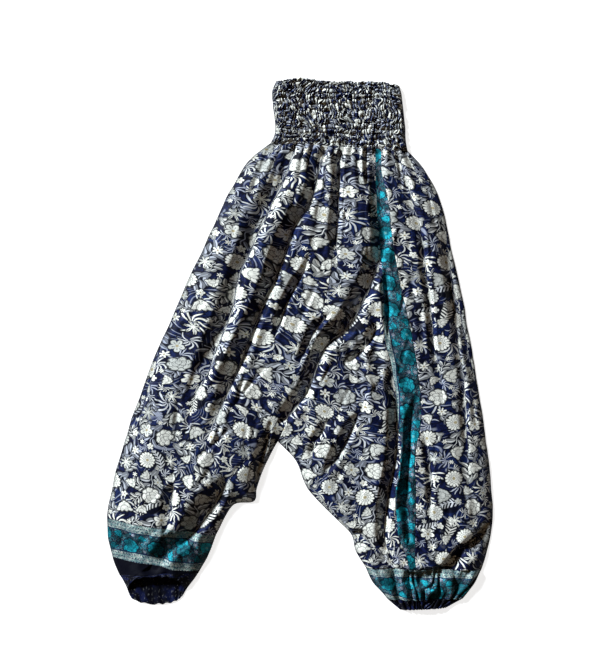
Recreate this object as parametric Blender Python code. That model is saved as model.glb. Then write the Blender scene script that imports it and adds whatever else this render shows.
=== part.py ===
"""Harem pants laid flat on a table: +X to the right, +Y towards the waist, +Z up.

Every piece of cloth is a wall worked out from its middle surface and the direction its
outer face lies in. The backs lie flat, the fronts rise over them by lift(), and the
smocked waistband, cuff bands and hems are flattened tubes.
"""

from bisect import bisect_right
from collections import namedtuple
from math import cos, exp, hypot, pi, sin

import bmesh
import bpy
from mathutils import Vector

MM = 0.001

# Driving sizes, in millimetres.
CLOTH = 1.5  # wall of plain cloth, measured upright
SMOCKED = 2.0  # wall of the gathered waistband
SEAM_GAP = 0.3
BACK_LEVEL = CLOTH / 2  # middle of a back panel, which rests on the table
FRONT_LEVEL = BACK_LEVEL + CLOTH + SEAM_GAP  # middle of a front panel at its edges
WAIST_GAP = 3.2  # between the two layers of the waistband
EDGE_ROLL = 11.0  # how far from the outline the cloth takes to rise
WAIST_ROLL = 5.0
EDGE_SHARE = 1e-6  # a tube's point this near its edge is on it
GATHERS = 15  # ribs across the front of the waistband
GATHER_DEPTH = 0.8
HEM_GATHERS = 7
HEM_GATHER_DEPTH = 1.0

# Rows of cloth faces, and columns across each piece.
ROWS_PER_SECTION = 2
LEFT_COLUMNS = 20
RIGHT_COLUMNS = 11
STRIP_COLUMNS = 3
WRAP_UNDER_COLUMNS = 3
WRAP_FOLD_COLUMNS = 4
WRAP_OVER_COLUMNS = 9
WAIST_COLUMNS = 60  # on each of its two layers
BAND_COLUMNS = 18
HEM_COLUMNS = 2 * HEM_GATHERS + 4

# Cross-sections from waist to ankle: the two points where a line across the piece
# meets its sides.
Section = namedtuple("Section", "left_x left_y right_x right_y")
LEFT_LEG = [
    Section(-54, 376, 72, 368.6),
    Section(-94, 342, 70, 320),
    Section(-129, 286, 70, 262),
    Section(-164, 212, 65, 184),
    Section(-200, 138, 53, 100),
    Section(-233, 63, 31, 17),
    Section(-265, -11, 5, -67),
    Section(-294, -86, -23, -141),
    Section(-315, -141, -41, -182),
    Section(-330, -195, -62, -225),
    Section(-342, -236, -79, -268),
    Section(-349, -262, -84, -299),
    Section(-356, -297, -125, -298),
    Section(-360, -326, -155, -357),
]
RIGHT_LEG = [
    Section(72, 368.6, 204, 361),
    Section(70, 320, 236, 324),
    Section(70, 262, 264, 268),
    Section(65, 184, 282, 190),
    Section(53, 100, 303, 97),
    Section(31, 17, 318, 17),
    Section(5, -67, 332, -63),
    Section(-23, -141, 345, -141),
    Section(-41, -182, 351, -188),
    Section(-6, -219, 357, -231),
    Section(16, -272, 360, -272),
    Section(68, -327, 362, -312),
    Section(98, -357, 358, -355),
    Section(107, -389, 351, -387),
    Section(124, -418, 340, -422),
]
CROTCH = 8  # row of both tables where the legs part

# Where the border strip starts and ends, as shares of each RIGHT_LEG row.
Strip = namedtuple("Strip", "start end")
STRIP = [
    Strip(0.528, 0.613),
    Strip(0.442, 0.506),
    Strip(0.385, 0.490),
    Strip(0.393, 0.496),
    Strip(0.416, 0.549),
    Strip(0.444, 0.617),
    Strip(0.523, 0.662),
    Strip(0.561, 0.677),
    Strip(0.589, 0.663),
    Strip(0.528, 0.608),
    Strip(0.470, 0.581),
    Strip(0.380, 0.503),
    Strip(0.329, 0.450),
    Strip(0.366, 0.441),
    Strip(0.371, 0.427),
]

WAISTBAND = [
    Section(-40, 491, 180, 480),
    Section(-51, 469, 191, 465),
    Section(-49, 445, 193, 445),
    Section(-46, 413, 197, 413),
    Section(-47, 392, 200, 383),
    Section(-54, 376, 204, 361),
]
LEFT_BAND = [
    Section(-360, -326, -155, -357),
    Section(-358, -365, -164, -383),
    Section(-348, -402, -174, -404),
    Section(-337, -432, -187, -426),
]
RIGHT_BAND = [
    Section(124, -418, 340, -422),
    Section(137, -445, 329, -445),
    Section(152, -463, 319, -459),
    Section(165, -478, 306, -476),
]
RIGHT_HEM = [
    Section(165, -478, 306, -476),
    Section(187, -497, 277, -493),
]

# The left hem opens upwards: its lip is an oval whose near side lies on the table and
# whose far side is lifted.
Mouth = namedtuple("Mouth", "centre_x centre_y half_width half_depth lift")
LEFT_MOUTH = Mouth(centre_x=-268, centre_y=-462, half_width=52, half_depth=25, lift=12)
LEFT_HEM_ROWS = 3

# How far the front stands over the back, away from its edges and folds.
Puff = namedtuple("Puff", "y height")
PUFF = [
    Puff(-500, 9),
    Puff(-440, 14),
    Puff(-350, 19),
    Puff(-200, 17),
    Puff(0, 14),
    Puff(200, 10),
    Puff(330, 6),
    Puff(376, 4.4),
    Puff(500, 4.4),
]

# Valleys between the folds: share of the height lost, half-width and route.
Fold = namedtuple("Fold", "depth width route")
FOLDS = [
    Fold(0.88, 14, [(-17, 348), (-73, 249), (-144, 73), (-175, -30), (-209, -151)]),
    Fold(0.85, 13, [(39, 342), (-17, 221), (-82, 63), (-134, -58), (-190, -216)]),
    Fold(0.60, 11, [(11, 156), (-23, 82), (-54, -2)]),
    Fold(0.65, 11, [(76, 333), (70, 240), (61, 128)]),
    Fold(0.85, 14, [(141, 333), (141, 175), (79, 35), (39, -11), (-32, -132)]),
    Fold(0.55, 11, [(141, 45), (113, -2), (76, -39)]),
    Fold(0.70, 13, [(113, -123), (76, -188), (39, -244)]),
    Fold(0.85, 14, [(154, -2), (172, -120), (172, -169), (150, -365)]),
    Fold(0.60, 14, [(215, -76), (200, -169), (191, -281), (200, -365)]),
    Fold(0.65, 14, [(252, 259), (280, 119), (308, -2), (327, -113)]),
    Fold(0.70, 18, [(113, -365), (159, -405), (211, -443), (262, -430), (299, -398), (358, -337)]),
    Fold(0.85, 15, [(-138, -234), (-185, -318), (-240, -374), (-275, -405)]),
    Fold(0.50, 17, [(-240, -253), (-250, -337)]),
]

UP, DOWN, LEFT, RIGHT = (0, 0, 1), (0, 0, -1), (-1, 0, 0), (1, 0, 0)

NAVY_PRINT = (0.045, 0.055, 0.20, 1)
TEAL_BORDER = (0.02, 0.30, 0.40, 1)
NAVY_PLAIN = (0.015, 0.020, 0.09, 1)
CLOTH_ROUGHNESS = 0.7


def smooth(rows, place):
    """Reads a table of number rows at a place from 0 (first row) to 1 (last row), on
    smooth curves that may turn sharply only at the crotch."""
    last = len(rows) - 1
    first = min(int(place * last), last - 1)
    t = place * last - first
    a, b = rows[first], rows[first + 1]
    before = a if first in (0, CROTCH) else rows[first - 1]
    after = b if first + 1 in (CROTCH, last) else rows[first + 2]
    return [
        q + t * (r - p + t * (2 * p - 5 * q + 4 * r - s + t * (3 * (q - r) + s - p))) / 2
        for p, q, r, s in zip(before, a, b, after)
    ]


def across(rows, place, share):
    """A point of the line across a piece, a share of the way from left to right."""
    left_x, left_y, right_x, right_y = smooth(rows, place)
    return left_x + share * (right_x - left_x), left_y + share * (right_y - left_y)


def side(rows, share, start=0.0):
    """A piece's left (share 0) or right (share 1) side, as a list of points."""
    steps = (len(rows) - 1) * ROWS_PER_SECTION
    points = [across(rows, i / steps, share) for i in range(steps + 1)]
    return points[round(start * steps):]


CROTCH_LEFT = CROTCH / (len(LEFT_LEG) - 1)
CROTCH_RIGHT = CROTCH / (len(RIGHT_LEG) - 1)
OUTLINE = [
    side(WAISTBAND, 0) + side(LEFT_LEG, 0) + side(LEFT_BAND, 0),
    side(WAISTBAND, 1) + side(RIGHT_LEG, 1) + side(RIGHT_BAND, 1) + side(RIGHT_HEM, 1),
    side(LEFT_LEG, 1, CROTCH_LEFT) + side(LEFT_BAND, 1),
    side(RIGHT_LEG, 0, CROTCH_RIGHT) + side(RIGHT_BAND, 0) + side(RIGHT_HEM, 0),
]


def distance(x, y, route):
    """Distance from a point to a route of straight stretches."""
    nearest = float("inf")
    for (ax, ay), (bx, by) in zip(route, route[1:]):
        dx, dy = bx - ax, by - ay
        length = dx * dx + dy * dy
        share = ((x - ax) * dx + (y - ay) * dy) / length if length else 0.0
        share = min(max(share, 0.0), 1.0)
        nearest = min(nearest, hypot(x - ax - share * dx, y - ay - share * dy))
    return nearest


def puff(y):
    """Full height of the front over the back at this distance along the garment."""
    ys = [row.y for row in PUFF]
    upper = min(max(bisect_right(ys, y), 1), len(ys) - 1)
    a, b = PUFF[upper - 1], PUFF[upper]
    return a.height + (b.height - a.height) * (y - a.y) / (b.y - a.y)


def lift(x, y):
    """Height of the front's middle surface over FRONT_LEVEL."""
    edge = min(distance(x, y, route) for route in OUTLINE)
    height = puff(y) * (1 - exp(-edge / EDGE_ROLL))
    for fold in FOLDS:
        height *= 1 - fold.depth * exp(-((distance(x, y, fold.route) / fold.width) ** 2))
    return height


def span(section):
    """Length of the line across a piece."""
    return hypot(section.right_x - section.left_x, section.right_y - section.left_y)


def spacing(a, b):
    """The shorter of the distances between two sections' ends."""
    left = hypot(b.left_x - a.left_x, b.left_y - a.left_y)
    right = hypot(b.right_x - a.right_x, b.right_y - a.right_y)
    return min(left, right)


def inset_rows(rows, down):
    """Keeps a piece half a seam gap inside its first and last rows, where smooth()
    moves at half its speed."""
    sections = len(rows) - 1
    first = SEAM_GAP / (spacing(rows[0], rows[1]) * sections)
    last = SEAM_GAP / (spacing(rows[-1], rows[-2]) * sections)
    return first + down * (1 - first - last)


def between(rows, down, start, end, share):
    """A share of the way between two sides of a piece, half a seam gap inside both."""
    width = span(Section(*smooth(rows, down)))
    margin = SEAM_GAP / 2 / width
    return across(rows, down, start + margin + share * (end - start - 2 * margin))


def cloth(name, place, columns, rows, wall, colour, tube=False):
    """A wall of cloth. place(down, across), both from 0 to 1, gives a point of its middle
    surface and the direction of its outer face there."""
    bm = bmesh.new()
    outward = bm.verts.layers.float_vector.new("outward")
    bmesh.ops.create_grid(bm, x_segments=columns, y_segments=rows, size=1)
    for vert in bm.verts:
        point, direction = place((1 - vert.co.y) / 2, (1 + vert.co.x) / 2)
        vert.co = Vector(point) * MM
        vert[outward] = Vector(direction) * (wall * MM / 2)
    if tube:
        bmesh.ops.remove_doubles(bm, verts=bm.verts, dist=MM / 100)
    inner = list(bm.verts)
    extruded = bmesh.ops.extrude_face_region(bm, geom=bm.faces[:])["geom"]
    for vert in inner:
        vert.co -= vert[outward]
    for vert in extruded:
        if isinstance(vert, bmesh.types.BMVert):
            vert.co += vert[outward]
    bmesh.ops.recalc_face_normals(bm, faces=bm.faces)
    mesh = bpy.data.meshes.new(name)
    bm.to_mesh(mesh)
    bm.free()
    mesh.shade_smooth()
    mesh.materials.append(fabric(name, colour))
    piece = bpy.data.objects.new(name, mesh)
    bpy.context.collection.objects.link(piece)


def fabric(name, colour):
    """A plain matt finish in the piece's main colour."""
    material = bpy.data.materials.new(name)
    material.use_nodes = True
    shader = material.node_tree.nodes["Principled BSDF"]
    shader.inputs["Base Color"].default_value = colour
    shader.inputs["Roughness"].default_value = CLOTH_ROUGHNESS
    shader.inputs["Metallic"].default_value = 0
    return material


def over(rows, start=lambda down: 0.0, end=lambda down: 1.0):
    """A front panel between two sides, which are shares of each row."""

    def place(down, share):
        down = inset_rows(rows, down)
        x, y = between(rows, down, start(down), end(down), share)
        return (x, y, FRONT_LEVEL + lift(x, y)), UP

    return place


def under(rows):
    """A flat back panel."""

    def place(down, share):
        x, y = between(rows, inset_rows(rows, down), 0, 1, share)
        return (x, y, BACK_LEVEL), UP

    return place


def strip_start(down):
    return smooth(STRIP, down)[0]


def strip_end(down):
    return smooth(STRIP, down)[1]


def wrapped(down, share):
    """The right back panel: out under the leg, round its edge and back to the strip."""
    columns = WRAP_UNDER_COLUMNS + WRAP_FOLD_COLUMNS + WRAP_OVER_COLUMNS
    column = share * columns
    down = inset_rows(RIGHT_LEG, down)
    width = span(Section(*smooth(RIGHT_LEG, down)))
    margin = SEAM_GAP / 2 / width
    radius = (FRONT_LEVEL - BACK_LEVEL) / 2
    fold_at = 1 - radius / width
    if column <= WRAP_UNDER_COLUMNS:
        share = margin + (fold_at - margin) * column / WRAP_UNDER_COLUMNS
        return (*across(RIGHT_LEG, down, share), BACK_LEVEL), DOWN
    if column < WRAP_UNDER_COLUMNS + WRAP_FOLD_COLUMNS:
        turn = pi * (column - WRAP_UNDER_COLUMNS) / WRAP_FOLD_COLUMNS
        x, y = across(RIGHT_LEG, down, fold_at + (1 - fold_at) * sin(turn))
        return (x, y, BACK_LEVEL + radius * (1 - cos(turn))), (sin(turn), 0, -cos(turn))
    back = (column - WRAP_UNDER_COLUMNS - WRAP_FOLD_COLUMNS) / WRAP_OVER_COLUMNS
    seam = strip_end(down) + margin
    x, y = across(RIGHT_LEG, down, fold_at + back * (seam - fold_at))
    return (x, y, FRONT_LEVEL + lift(x, y)), UP


def around(share):
    """Splits a share of the way round a flattened tube into front or back, and a
    share of the way from left to right."""
    if share <= 0.5:
        return True, 2 * share
    return False, 2 - 2 * share


def rolled_edge(share):
    """Direction of a flattened tube's outer face at its left or right edge."""
    return LEFT if share < 0.5 else RIGHT


def is_edge(share):
    return min(share, 1 - share) < EDGE_SHARE


def tube(rows, ribs=0, rib_depth=0.0):
    """A flattened tube: its front follows lift(), with ribs, and its back lies flat."""

    def place(down, share):
        front, share = around(share)
        x, y = across(rows, inset_rows(rows, down), share)
        if is_edge(share):
            return (x, y, (BACK_LEVEL + FRONT_LEVEL) / 2), rolled_edge(share)
        if not front:
            return (x, y, BACK_LEVEL), DOWN
        ripple = rib_depth * sin(pi * ribs * share) ** 2
        return (x, y, FRONT_LEVEL + lift(x, y) + ripple), UP

    return place


def waist(down, share):
    """The smocked tube, whose layers keep an even gap between its rolled sides."""
    front, share = around(share)
    x, y = across(WAISTBAND, inset_rows(WAISTBAND, down), share)
    low = SMOCKED / 2
    high = low + SMOCKED + SEAM_GAP
    if is_edge(share):
        return (x, y, (low + high) / 2), rolled_edge(share)
    if not front:
        return (x, y, low), DOWN
    edge = min(distance(x, y, route) for route in OUTLINE)
    rise = (WAIST_GAP - SEAM_GAP) * (1 - exp(-edge / WAIST_ROLL))
    return (x, y, high + rise - GATHER_DEPTH * cos(pi * GATHERS * share) ** 2), UP


def left_hem(down, share):
    """From the end of the left band to the oval lip of its mouth."""
    front, share = around(share)
    x, y = across(LEFT_BAND, 1, share)
    reach = LEFT_MOUTH.half_depth * sin(pi * share)
    lip_x = LEFT_MOUTH.centre_x - LEFT_MOUTH.half_width * cos(pi * share)
    if is_edge(share):
        level = lip_level = (BACK_LEVEL + FRONT_LEVEL) / 2
        lip_y, direction = LEFT_MOUTH.centre_y, rolled_edge(share)
    elif front:
        level = FRONT_LEVEL + lift(x, y)
        lip_level = FRONT_LEVEL + LEFT_MOUTH.lift * sin(pi * share)
        lip_level += HEM_GATHER_DEPTH * sin(pi * HEM_GATHERS * share) ** 2
        lip_y, direction = LEFT_MOUTH.centre_y + reach, UP
    else:
        level = lip_level = BACK_LEVEL
        lip_y, direction = LEFT_MOUTH.centre_y - reach, DOWN
    margin = SEAM_GAP / 2 / hypot(lip_x - x, lip_y - y)
    down = margin + down * (1 - margin)
    return Vector((x, y, level)).lerp(Vector((lip_x, lip_y, lip_level)), down), direction


def leg_rows(rows):
    return (len(rows) - 1) * ROWS_PER_SECTION


def build():
    for old in list(bpy.data.objects):
        bpy.data.objects.remove(old)

    left_rows, right_rows = leg_rows(LEFT_LEG), leg_rows(RIGHT_LEG)
    cloth("left_leg_front", over(LEFT_LEG), LEFT_COLUMNS, left_rows, CLOTH, NAVY_PRINT)
    cloth("left_leg_back", under(LEFT_LEG), 1, left_rows, CLOTH, NAVY_PRINT)
    inner = over(RIGHT_LEG, end=strip_start)
    cloth("right_leg_front", inner, RIGHT_COLUMNS, right_rows, CLOTH, NAVY_PRINT)
    strip = over(RIGHT_LEG, strip_start, strip_end)
    cloth("border_strip", strip, STRIP_COLUMNS, right_rows, CLOTH, TEAL_BORDER)
    wrap_columns = WRAP_UNDER_COLUMNS + WRAP_FOLD_COLUMNS + WRAP_OVER_COLUMNS
    cloth("right_leg_back", wrapped, wrap_columns, right_rows, CLOTH, NAVY_PRINT)

    cloth("waistband", waist, 2 * WAIST_COLUMNS, 3, SMOCKED, NAVY_PRINT, tube=True)
    for name, rows in (("left_cuff_band", LEFT_BAND), ("right_cuff_band", RIGHT_BAND)):
        cloth(name, tube(rows), 2 * BAND_COLUMNS, 3, CLOTH, TEAL_BORDER, tube=True)
    cloth("left_hem", left_hem, 2 * HEM_COLUMNS, LEFT_HEM_ROWS, CLOTH, NAVY_PLAIN, tube=True)
    right_place = tube(RIGHT_HEM, HEM_GATHERS, HEM_GATHER_DEPTH)
    cloth("right_hem", right_place, 2 * HEM_COLUMNS, 2, CLOTH, NAVY_PLAIN, tube=True)


build()
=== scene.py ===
"""The looks of harem pants laid flat: thin creased cloth with a navy floral print, a smocked
waistband, a teal-flowered border down one leg and round both cuffs, and gathered hems."""

from collections import namedtuple
from math import cos, pi, radians, sin

import bmesh
import bpy
import numpy as np
from bpy.props import FloatProperty, FloatVectorProperty, PointerProperty
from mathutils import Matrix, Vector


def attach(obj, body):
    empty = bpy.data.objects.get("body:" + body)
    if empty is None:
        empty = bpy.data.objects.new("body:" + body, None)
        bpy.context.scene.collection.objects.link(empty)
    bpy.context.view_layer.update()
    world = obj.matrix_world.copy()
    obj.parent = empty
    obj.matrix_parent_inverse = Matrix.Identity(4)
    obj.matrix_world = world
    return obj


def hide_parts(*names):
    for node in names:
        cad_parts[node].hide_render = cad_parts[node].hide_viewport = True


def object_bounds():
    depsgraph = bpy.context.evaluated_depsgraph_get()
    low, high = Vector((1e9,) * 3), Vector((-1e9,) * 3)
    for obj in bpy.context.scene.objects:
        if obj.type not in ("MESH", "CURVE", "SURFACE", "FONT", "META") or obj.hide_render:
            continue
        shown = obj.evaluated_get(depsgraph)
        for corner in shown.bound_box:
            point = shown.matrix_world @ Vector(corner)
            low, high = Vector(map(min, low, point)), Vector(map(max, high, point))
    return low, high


bl_info = {
    "name": "Harem pants laid flat",
    "version": (1, 0, 0),
    "blender": (4, 5, 0),
    "location": "3D View > Sidebar > Harem pants",
    "description": "Dresses the plain solids of a pair of harem pants in printed, creased cloth",
    "category": "Object",
}

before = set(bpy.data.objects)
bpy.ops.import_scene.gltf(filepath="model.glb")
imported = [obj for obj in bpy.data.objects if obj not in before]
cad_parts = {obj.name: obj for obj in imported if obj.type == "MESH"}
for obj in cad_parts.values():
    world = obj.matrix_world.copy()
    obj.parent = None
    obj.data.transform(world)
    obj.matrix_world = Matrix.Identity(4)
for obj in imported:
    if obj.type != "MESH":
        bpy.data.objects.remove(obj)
CAD_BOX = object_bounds()
MM = 0.001

# ---------------------------------------------------------------------------
# The cut, in millimetres, close to the solids' own sections. Each row is a line across a
# piece, given by its two ends, and the rows run down the piece.

Section = namedtuple("Section", "left_x left_y right_x right_y")
LEFT_LEG = [
    Section(-54, 376, 72, 368.6),
    Section(-94, 342, 70, 320),
    Section(-129, 286, 70, 262),
    Section(-164, 212, 65, 184),
    Section(-200, 138, 53, 100),
    Section(-233, 63, 31, 17),
    Section(-265, -11, 5, -67),
    Section(-294, -86, -23, -141),
    Section(-315, -141, -41, -182),
    Section(-330, -195, -62, -225),
    Section(-342, -236, -79, -268),
    Section(-349, -262, -85, -294),
    Section(-356, -297, -125, -302),
    Section(-360, -326, -155, -357),
]
RIGHT_LEG = [
    Section(72, 368.6, 204, 361),
    Section(70, 320, 236, 324),
    Section(70, 262, 264, 268),
    Section(65, 184, 282, 190),
    Section(53, 100, 303, 97),
    Section(31, 17, 318, 17),
    Section(5, -67, 332, -63),
    Section(-23, -141, 345, -141),
    Section(-41, -182, 351, -188),
    Section(-6, -219, 357, -231),
    Section(16, -272, 360, -272),
    Section(68, -327, 362, -312),
    Section(98, -357, 358, -355),
    Section(107, -389, 351, -387),
    Section(124, -418, 340, -422),
]
CROTCH = 8  # the row where both legs turn sharply

# The border strip's two seams, as shares of the right leg's rows.
Strip = namedtuple("Strip", "start end")
STRIP = [
    Strip(0.528, 0.613),
    Strip(0.442, 0.506),
    Strip(0.385, 0.490),
    Strip(0.393, 0.496),
    Strip(0.416, 0.549),
    Strip(0.444, 0.617),
    Strip(0.523, 0.662),
    Strip(0.561, 0.677),
    Strip(0.589, 0.663),
    Strip(0.528, 0.608),
    Strip(0.470, 0.581),
    Strip(0.380, 0.503),
    Strip(0.329, 0.450),
    Strip(0.366, 0.441),
    Strip(0.371, 0.427),
]
WAISTBAND = [
    Section(-43, 491, 188, 481),
    Section(-51, 469, 191, 465),
    Section(-49, 445, 193, 445),
    Section(-46, 413, 197, 413),
    Section(-47, 392, 200, 383),
    Section(-54, 376, 204, 361),
]
LEFT_BAND = [
    Section(-360, -326, -155, -357),
    Section(-358, -365, -164, -383),
    Section(-348, -402, -174, -404),
    Section(-337, -432, -187, -426),
]
RIGHT_BAND = [
    Section(124, -418, 340, -422),
    Section(137, -445, 329, -445),
    Section(152, -463, 319, -459),
    Section(165, -478, 306, -476),
]
RIGHT_HEM = [
    Section(165, -478, 306, -476),
    Section(187, -497, 277, -493),
]
Mouth = namedtuple("Mouth", "centre_x centre_y half_width front_reach back_reach lift")
LEFT_MOUTH = Mouth(centre_x=-268, centre_y=-462, half_width=52, front_reach=32,
                   back_reach=25, lift=16)

# How high the front stands over the back, down the garment.
Puff = namedtuple("Puff", "y height")
PUFF = [
    Puff(-500, 9),
    Puff(-440, 15),
    Puff(-350, 21),
    Puff(-200, 20),
    Puff(0, 19),
    Puff(200, 19),
    Puff(330, 14),
    Puff(376, 6.5),
    Puff(500, 4.4),
]

# ---------------------------------------------------------------------------
# Creases of the front. Each long fold leans over to its right: a broad slope falls to the
# crease from the left and a short one rises beyond it. depth is the share of the height
# lost, width the half-width, hidden the cloth tucked in, start and end the strength where
# the route begins and ends.

Fold = namedtuple("Fold", "depth width hidden start end route")
FOLDS = [
    Fold(0.95, 19, 60, 0.9, 0.0, [(-17, 356), (-73, 249), (-118, 140), (-144, 55), (-175, -30),
                                  (-203, -86), (-209, -151)]),
    Fold(0.95, 16, 60, 0.9, 0.0, [(39, 356), (11, 268), (-17, 221), (-54, 128), (-82, 63),
                                  (-110, -2), (-134, -58), (-162, -132), (-190, -216)]),
    Fold(0.65, 9, 22, 0.1, 0.0, [(11, 156), (-23, 82), (-54, -2)]),
    Fold(0.60, 9, 26, 0.9, 0.0, [(76, 352), (70, 240), (61, 128)]),
    Fold(0.95, 17, 60, 0.9, 0.7, [(141, 352), (143, 221), (141, 175), (113, 91), (79, 35),
                                  (39, -11), (11, -76), (-32, -132)]),
    Fold(0.60, 10, 20, 0.1, 0.0, [(141, 45), (113, -2), (76, -39)]),
    Fold(0.75, 11, 24, 0.1, 0.1, [(113, -123), (76, -188), (39, -244)]),
    Fold(0.90, 13, 36, 0.1, 0.6, [(154, -2), (169, -76), (172, -169), (159, -281), (150, -365),
                                  (170, -405)]),
    Fold(0.55, 10, 12, 0.1, 0.6, [(215, -76), (200, -169), (191, -281), (200, -365)]),
    Fold(0.60, 11, 16, 0.1, 0.0, [(252, 259), (280, 119), (308, -2), (327, -113)]),
    Fold(0.45, 9, 14, 0.8, 0.0, [(186, 340), (214, 236), (232, 110), (246, 0), (262, -130)]),
    Fold(0.40, 9, 14, 0.0, 0.0, [(268, 200), (286, 60), (300, -90), (306, -250)]),
    Fold(0.95, 17, 24, 0.9, 0.9, [(113, -365), (150, -405), (185, -432), (211, -443)]),
    Fold(0.92, 16, 10, 0.9, 0.6, [(211, -443), (262, -430), (299, -398), (358, -337)]),
    Fold(0.98, 20, 50, 0.0, 0.9, [(-138, -234), (-185, -318), (-240, -374), (-275, -405)]),
    Fold(0.95, 22, 6, 0.6, 0.9, [(-352, -350), (-325, -385), (-285, -412), (-262, -430)]),
    Fold(0.55, 11, 20, 0.0, 0.6, [(-240, -253), (-250, -337)]),
    Fold(0.50, 8, 10, 0.3, 0.3, [(150, 200), (156, 98), (157, 0)]),
    Fold(0.55, 8, 12, 0.3, 0.3, [(-60, -150), (-78, -215), (-95, -270)]),
    Fold(0.50, 9, 14, 0.0, 0.0, [(60, 70), (22, 18), (-8, -50)]),
    Fold(0.45, 8, 12, 0.0, 0.0, [(60, -130), (28, -180), (18, -230)]),
    Fold(0.45, 9, 14, 0.0, 0.2, [(-262, 10), (-290, -80), (-306, -170)]),
    Fold(0.40, 8, 12, 0.0, 0.0, [(226, -150), (240, -250), (238, -340)]),
]
LEAN = 2.0  # how much broader a fold's left slope is than its half-width
TUCK = 0.8  # the same for its right slope
SHIFT = 0.6  # how far to the right of its route the crease lies, in half-widths
RIDGE = 1.6  # how far the cloth stands up beside a fold, in millimetres
UNEVEN = 0.15  # how much a fold's strength varies along its route
PRINT_REACH = 120  # how far from a fold the print is drawn towards it
SHARP = 0.06  # the half-widths over which a fold hides its cloth

# Short pleats under the waistband: their place on its seam, how far they drift to the
# right going down, their length, their depth at the seam and their half-width.
Pleat = namedtuple("Pleat", "at drift length depth width")
PLEATS = [
    Pleat(-40, -62, 120, 5.7, 5.0),
    Pleat(-28, -44, 90, 5.7, 4.0),
    Pleat(-4, -30, 80, 4.75, 4.5),
    Pleat(12, -30, 150, 6.65, 5.0),
    Pleat(25, -14, 70, 4.75, 4.0),
    Pleat(54, -12, 120, 6.65, 5.0),
    Pleat(66, -6, 60, 4.75, 3.5),
    Pleat(84, -12, 95, 8.55, 5.0),
    Pleat(98, -4, 65, 4.75, 4.0),
    Pleat(113, -2, 80, 5.7, 4.0),
    Pleat(126, -2, 120, 8.55, 5.0),
    Pleat(157, 3, 110, 6.65, 4.5),
    Pleat(171, 14, 70, 5.7, 4.0),
    Pleat(184, 26, 120, 5.7, 4.5),
    Pleat(196, 40, 80, 4.75, 4.0),
]
WAIST_SEAM = [(-54, 376), (204, 361)]
PLEAT_CLOTH = 1.5  # the cloth that a pleat hides at the seam, in its half-widths
PLEAT_BULGE = 0.35  # how far the cloth stands up beside a pleat, as a share of its depth

# Small creases, scattered over the legs: how many, the least and most of each measure, and
# how unevenly they are turned, in radians.
Scatter = namedtuple("Scatter", "count length depth width spread")
SMALL_CREASES = Scatter(count=130, length=(40, 140), depth=(1.2, 4.2), width=(4, 8), spread=0.35)
BANK = 0.4  # how far the cloth stands up round a small crease, as a share of its depth

# Creases that run down the whole garment, and soft dents.
Dent = namedtuple("Dent", "height size seed")
DENTS = [Dent(0.4, 24, 7), Dent(0.25, 11, 8)]
LONG_HEIGHT = 3.6  # of the long creases on the front
WRINKLE_HEIGHT = 4.5  # of those on the back
FULL_FROM = 14  # how far in from the outline the front's creases come to their height
LAYER_GAP = 1.4  # what the back stays below the front

FRONT_LEVEL = 1.6  # outer face of the front where it meets the back
BACK_LEVEL = 0.1  # outer face of the back, just clear of the floor
RIM = 3.2  # width of the painted shade along the outline, standing in for the cloth turning under
EDGE_ROLLS = (36, 30, 22, 18)  # how gently the front falls to each side of the outline
FAN_TIP = (111, 755)  # where the lines of the long creases would meet


def smooth(rows, place):
    """Reads a table of number rows at places from 0 to 1, on smooth curves that turn
    sharply only at the crotch."""
    table = np.array([tuple(row) for row in rows], float)
    last = len(table) - 1
    place = np.asarray(place, float)
    first = np.clip((place * last).astype(int), 0, last - 1)
    t = (place * last - first)[..., None]
    before = np.where(np.isin(first, (0, CROTCH)), first, first - 1)
    after = np.where(np.isin(first + 1, (CROTCH, last)), first + 1, first + 2)
    p, q, r, s = table[before], table[first], table[first + 1], table[after]
    return q + t * (r - p + t * (2 * p - 5 * q + 4 * r - s + t * (3 * (q - r) + s - p))) / 2


def across(rows, place, share):
    """Points of the lines across a piece, a share of the way from left to right."""
    left_x, left_y, right_x, right_y = np.moveaxis(smooth(rows, place), -1, 0)
    return left_x + share * (right_x - left_x), left_y + share * (right_y - left_y)


def even(rows, count):
    """Places down a piece that are evenly spaced along its middle."""
    fine = np.linspace(0, 1, 40 * len(rows))
    x, y = across(rows, fine, 0.5)
    walked = np.concatenate([[0], np.cumsum(np.hypot(np.diff(x), np.diff(y)))])
    return np.interp(np.linspace(0, walked[-1], count), walked, fine)


def side(rows, share, start=0):
    places = np.linspace(start / (len(rows) - 1), 1, 4 * (len(rows) - start))
    return list(zip(*across(rows, places, share)))


OUTLINE = [
    side(WAISTBAND, 0) + side(LEFT_LEG, 0) + side(LEFT_BAND, 0),
    side(WAISTBAND, 1) + side(RIGHT_LEG, 1) + side(RIGHT_BAND, 1) + side(RIGHT_HEM, 1),
    side(LEFT_LEG, 1, CROTCH) + side(LEFT_BAND, 1),
    side(RIGHT_LEG, 0, CROTCH) + side(RIGHT_BAND, 0) + side(RIGHT_HEM, 0),
]


def nearest(x, y, route):
    """Distance to a route, which side of it a point is on (1 is the right, going down),
    and how far along it lies."""
    best = np.full(x.shape, np.inf)
    sign = np.ones(x.shape)
    along = np.zeros(x.shape)
    lengths = [np.hypot(b[0] - a[0], b[1] - a[1]) for a, b in zip(route, route[1:])]
    walked, total = 0.0, sum(lengths)
    for (ax, ay), (bx, by), length in zip(route, route[1:], lengths):
        if not length:
            continue
        dx, dy = (bx - ax) / length, (by - ay) / length
        reach = np.clip((x - ax) * dx + (y - ay) * dy, 0, length)
        gap = np.hypot(x - ax - reach * dx, y - ay - reach * dy)
        closer = gap < best
        best = np.where(closer, gap, best)
        sign = np.where(closer, np.sign((y - ay) * dx - (x - ax) * dy), sign)
        along = np.where(closer, (walked + reach) / total, along)
        walked += length
    return best, sign, along


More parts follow.
